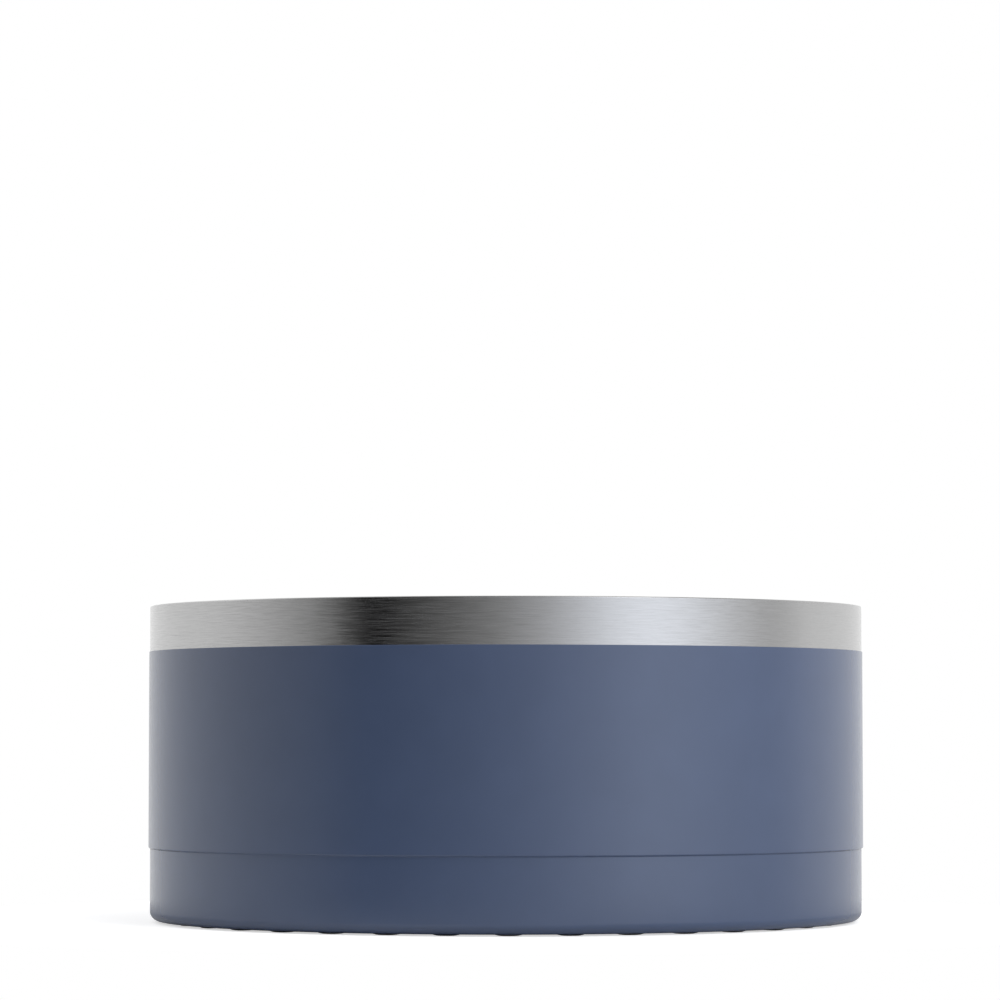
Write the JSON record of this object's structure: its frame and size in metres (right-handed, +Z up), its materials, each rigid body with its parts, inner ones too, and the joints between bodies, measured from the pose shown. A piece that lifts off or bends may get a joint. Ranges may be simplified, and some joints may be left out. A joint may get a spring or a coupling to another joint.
{
  "type": "dog bowl",
  "caption": "Straight-sided double-wall steel dog bowl: brushed bare rim band, slate-blue powder coat, low seam, rounded base corner and a recessed rubber non-slip ring with feet.",
  "frame": {"origin": "on the bowl's axis, on the plane that the tips of the rubber feet stand on", "axes": "+Z up along the bowl's axis of revolution; -Y faces the front, where one rubber foot is centred"},
  "size_m": [0.216, 0.216, 0.0949],
  "materials": {
    "bowl_steel": "satin",
    "band_steel": "satin",
    "base_steel": "satin",
    "lip_steel": "satin",
    "weld_steel": "satin",
    "coat": "matte",
    "rubber": "matte",
    "adhesive": "matte"
  },
  "bodies": {
    "root": {"inner_bowl": "bowl_steel", "outer_shell": "band_steel", "base_cup": "base_steel", "rim_weld": "lip_steel", "seam_weld": "weld_steel", "powder_coat": "coat", "non_slip_ring": "rubber", "ring_adhesive": "adhesive"}
  },
  "joints": []
}
